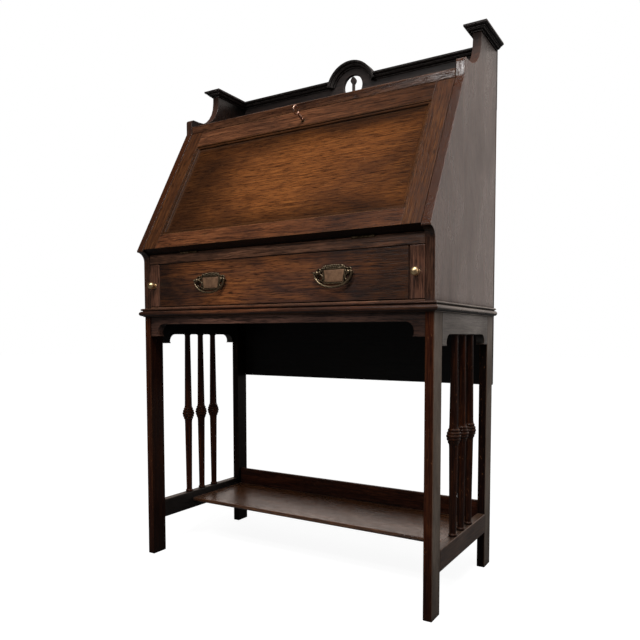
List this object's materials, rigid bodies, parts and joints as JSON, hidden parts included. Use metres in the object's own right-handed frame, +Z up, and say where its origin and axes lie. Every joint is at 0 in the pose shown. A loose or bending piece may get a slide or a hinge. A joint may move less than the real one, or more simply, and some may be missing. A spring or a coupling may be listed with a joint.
{
  "type": "bureau desk",
  "caption": "Fall-front writing bureau of stained oak on an open stand with turned spindles, a drawer, pull-out supports, a low shelf and a pierced gallery.",
  "frame": {"origin": "on the floor under the middle of the bureau's box", "axes": "+X to the right along the front, +Y to the back, +Z up"},
  "size_m": [0.793, 0.3948, 1.2533],
  "materials": {
    "dark_oak": "dark stained and polished oak",
    "golden_oak": "golden-brown polished oak",
    "grey_oak": "brown polished oak with a grey sheen",
    "black_oak": "almost black stained oak",
    "plain_oak": "unpolished inner oak",
    "brass": "worn polished brass",
    "bronze": "dark antique bronze finish",
    "steel": "dark worn steel"
  },
  "bodies": {
    "case": {"leg_front_left": "dark_oak", "leg_front_right": "dark_oak", "leg_back_left": "dark_oak", "leg_back_right": "dark_oak", "side_stretcher_left": "dark_oak", "side_stretcher_right": "dark_oak", "side_apron_left": "dark_oak", "side_apron_right": "dark_oak", "spindle_left_1": "dark_oak", "spindle_left_2": "dark_oak", "spindle_left_3": "dark_oak", "spindle_right_1": "dark_oak", "spindle_right_2": "dark_oak", "spindle_right_3": "dark_oak", "lower_shelf": "dark_oak", "shelf_upstand": "dark_oak", "front_apron": "dark_oak", "kneehole_back": "black_oak", "waist_moulding_front": "black_oak", "waist_moulding_left": "black_oak", "waist_moulding_right": "black_oak", "back_board": "black_oak", "gallery_board": "black_oak", "gallery_moulding": "black_oak", "cap_left": "black_oak", "cap_right": "black_oak", "end_left": "grey_oak", "end_right": "grey_oak", "bottom_board": "dark_oak", "writing_bed": "dark_oak", "top_board": "dark_oak", "fall_stop_rail": "dark_oak", "drawer_partition_left": "plain_oak", "drawer_partition_right": "plain_oak", "pigeonhole_rack": "plain_oak", "hinge_bed_leaf_left": "brass", "hinge_bed_leaf_right": "brass"},
    "fall": {"fall_stile_left": "golden_oak", "fall_stile_right": "golden_oak", "fall_top_rail": "golden_oak", "fall_bottom_rail": "golden_oak", "fall_panel": "golden_oak", "hinge_fall_leaf_left": "brass", "hinge_fall_leaf_right": "brass", "lock_case": "brass"},
    "key": {"key": "steel"},
    "bolt": {"lock_bolt": "steel"},
    "drawer": {"drawer_front": "dark_oak", "drawer_side_left": "plain_oak", "drawer_side_right": "plain_oak", "drawer_back": "plain_oak", "drawer_bottom": "plain_oak", "handle_plate_left": "bronze", "handle_plate_right": "bronze"},
    "bail_left": {"handle_bail_left": "bronze"},
    "bail_right": {"handle_bail_right": "bronze"},
    "loper_left": {"loper_left": "dark_oak", "loper_knob_left": "brass"},
    "loper_right": {"loper_right": "dark_oak", "loper_knob_right": "brass"}
  },
  "joints": [
    {"name": "fall_hinge", "type": "hinge", "parent": "case", "child": "fall", "pos_m": [0, -0.1764, 0.738], "axis": [1, 0, 0], "range_deg": [0, 118]},
    {"name": "key_turn", "type": "hinge", "parent": "fall", "child": "key", "pos_m": [0, -0.02321, 1.02612], "axis": [0, -0.8829, 0.4695], "range_deg": [0, 180]},
    {"name": "bolt_slide", "type": "slide", "parent": "fall", "child": "bolt", "axis": [0, 0.4695, 0.8829], "range_m": [0, 0.007]},
    {"name": "drawer_slide", "type": "slide", "parent": "case", "child": "drawer", "axis": [0, -1, 0], "range_m": [0, 0.25]},
    {"name": "handle_left_swing", "type": "hinge", "parent": "drawer", "child": "bail_left", "pos_m": [-0.164, -0.1835, 0.67015], "axis": [-1, 0, 0], "range_deg": [0, 85]},
    {"name": "handle_right_swing", "type": "hinge", "parent": "drawer", "child": "bail_right", "pos_m": [0.164, -0.1835, 0.67015], "axis": [-1, 0, 0], "range_deg": [0, 85]},
    {"name": "loper_left_slide", "type": "slide", "parent": "case", "child": "loper_left", "axis": [0, -1, 0], "range_m": [0, 0.24]},
    {"name": "loper_right_slide", "type": "slide", "parent": "case", "child": "loper_right", "axis": [0, -1, 0], "range_m": [0, 0.24]}
  ],
  "couplings": [
    {"joint": "bolt_slide", "follows": "key_turn", "m_per_rad": 0.002228}
  ]
}
